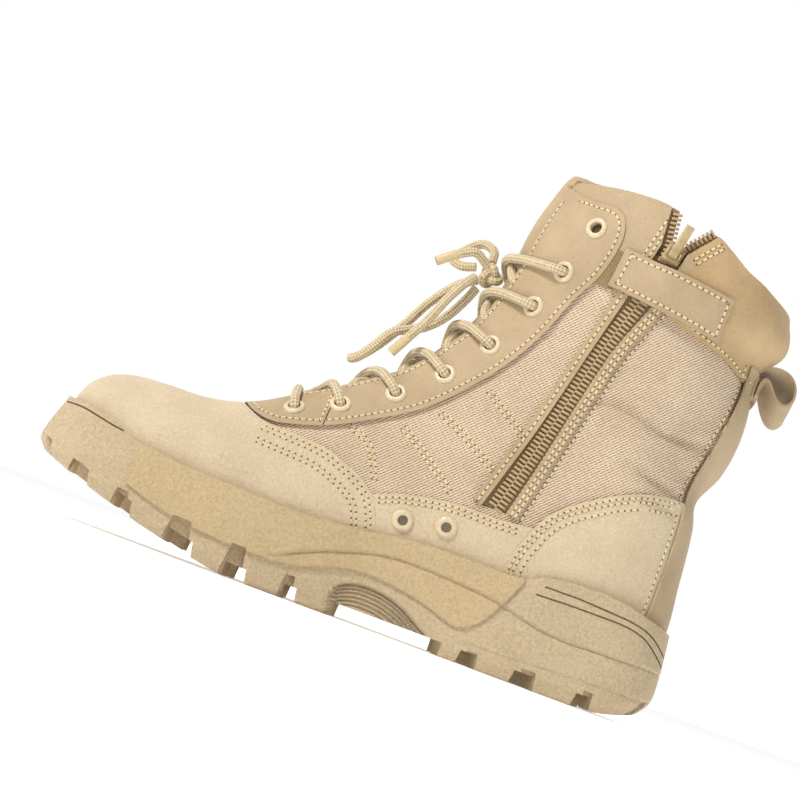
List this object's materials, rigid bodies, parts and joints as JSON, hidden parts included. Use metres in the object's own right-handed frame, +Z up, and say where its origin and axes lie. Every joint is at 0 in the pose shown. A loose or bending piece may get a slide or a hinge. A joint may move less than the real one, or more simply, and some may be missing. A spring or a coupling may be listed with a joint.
{
  "type": "combat boot",
  "caption": "Tan lace-up combat boot with a side zip, hook-and-loop tab, padded collar, heel pull loop and lugged cup sole.",
  "frame": {"origin": "middle of the base of the box round the boot, on the plane that heel and forefoot stand on", "axes": "-X from heel to toe, +Y to the outer (lateral) side, +Z up"},
  "size_m": [0.328, 0.1101, 0.2338],
  "materials": {
    "rubber": "moulded matte rubber",
    "midsole": "moulded matte rubber, slightly yellower",
    "lining": "brushed fabric",
    "suede": "suede",
    "leather": "smooth matte leather",
    "zip": "moulded teeth on woven tape",
    "hardware": "painted satin",
    "lace": "round braid"
  },
  "bodies": {
    "boot": {"outsole": "rubber", "midsole": "midsole", "insole": "lining", "upper": "suede", "tongue": "leather", "heel_counter": "suede", "eyestay_medial": "leather", "eyestay_lateral": "leather", "strap": "leather", "zip_chain": "zip", "zip_slider": "hardware", "pull_loop": "leather", "eyelet_medial_1": "hardware", "eyelet_lateral_1": "hardware", "eyelet_medial_2": "hardware", "eyelet_lateral_2": "hardware", "eyelet_medial_3": "hardware", "eyelet_lateral_3": "hardware", "eyelet_medial_4": "hardware", "eyelet_lateral_4": "hardware", "eyelet_medial_5": "hardware", "eyelet_lateral_5": "hardware", "eyelet_medial_6": "hardware", "eyelet_lateral_6": "hardware", "eyelet_medial_7": "hardware", "eyelet_lateral_7": "hardware", "eyelet_medial_8": "hardware", "eyelet_lateral_8": "hardware", "vent_1": "hardware", "vent_2": "hardware", "lace_1": "lace", "lace_2": "lace", "lace_3": "lace", "lace_4": "lace", "lace_5": "lace", "lace_6": "lace", "lace_7": "lace", "lace_knot": "lace", "lace_loop_long": "lace", "lace_loop_short": "lace", "lace_end_upper": "lace", "lace_end_lower": "lace"},
    "zip_pull": {"zip_pull": "hardware"}
  },
  "joints": [
    {"name": "zip_pull_swing", "type": "hinge", "parent": "boot", "child": "zip_pull", "pos_m": [0.08233, -0.04998, 0.21012], "axis": [0.973, -0.0991, -0.2085], "range_deg": [0, 160]}
  ]
}
